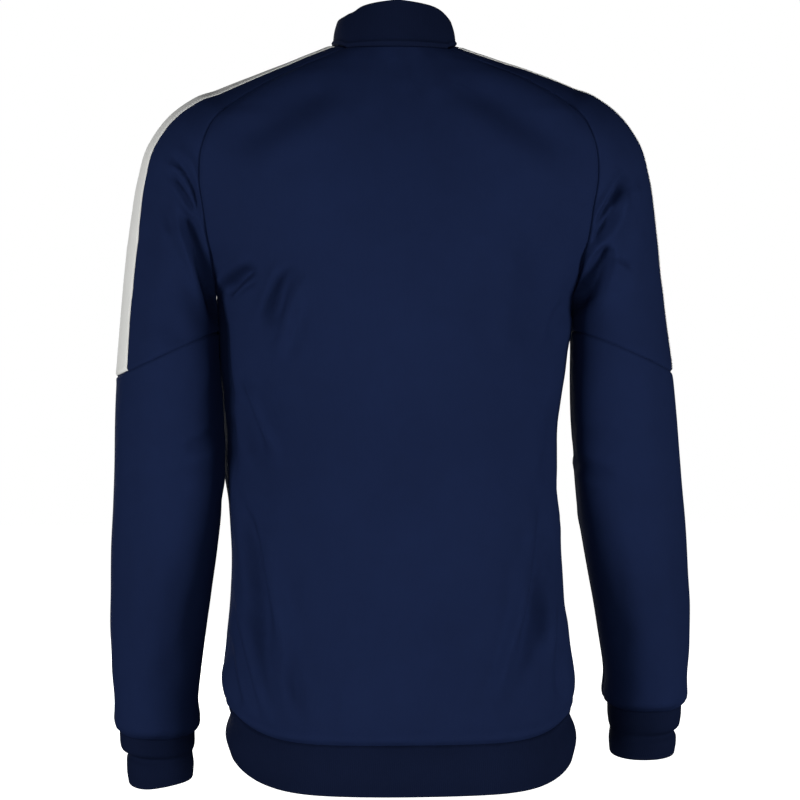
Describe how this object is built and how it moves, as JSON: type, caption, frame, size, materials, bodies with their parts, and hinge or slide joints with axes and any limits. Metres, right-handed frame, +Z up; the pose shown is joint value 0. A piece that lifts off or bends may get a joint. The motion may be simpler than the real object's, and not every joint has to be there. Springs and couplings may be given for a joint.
{
  "type": "track jacket",
  "caption": "Navy zipped track jacket with raglan sleeves, stand collar, cuffs and hem band, filled out as worn but empty.",
  "frame": {"origin": "middle of the neck opening, level with the shoulders, where the wearer holds the jacket up", "axes": "+Z up along the wearer's spine, the front faces -Y, and +X is the wearer's left"},
  "size_m": [0.5543, 0.239, 0.7443],
  "materials": {
    "knit": "navy polyester double knit with a soft sheen",
    "rib_knit": "darker navy knit, doubled",
    "pale_band": "off-white knit tape",
    "zip_tape": "woven navy zip tape",
    "zip_teeth": "moulded navy teeth",
    "zip_metal": "navy lacquered slider and pull"
  },
  "bodies": {
    "jacket": {"back": "knit", "front_left": "knit", "front_right": "knit", "sleeve_upper_left": "knit", "sleeve_upper_right": "knit", "sleeve_lower_left": "knit", "sleeve_lower_right": "knit", "cuff_left": "rib_knit", "cuff_right": "rib_knit", "hem_band": "rib_knit", "collar": "rib_knit", "shoulder_band_left": "pale_band", "shoulder_band_right": "pale_band", "zip_tape_left": "zip_tape", "zip_tape_right": "zip_tape", "zip_chain": "zip_teeth", "zip_slider": "zip_metal"},
    "zip_pull": {"zip_pull": "zip_metal"}
  },
  "joints": [
    {"name": "pull_hinge", "type": "hinge", "parent": "jacket", "child": "zip_pull", "pos_m": [0, -0.06224, -0.024], "axis": [-1, 0, 0], "range_deg": [0, 165]}
  ]
}
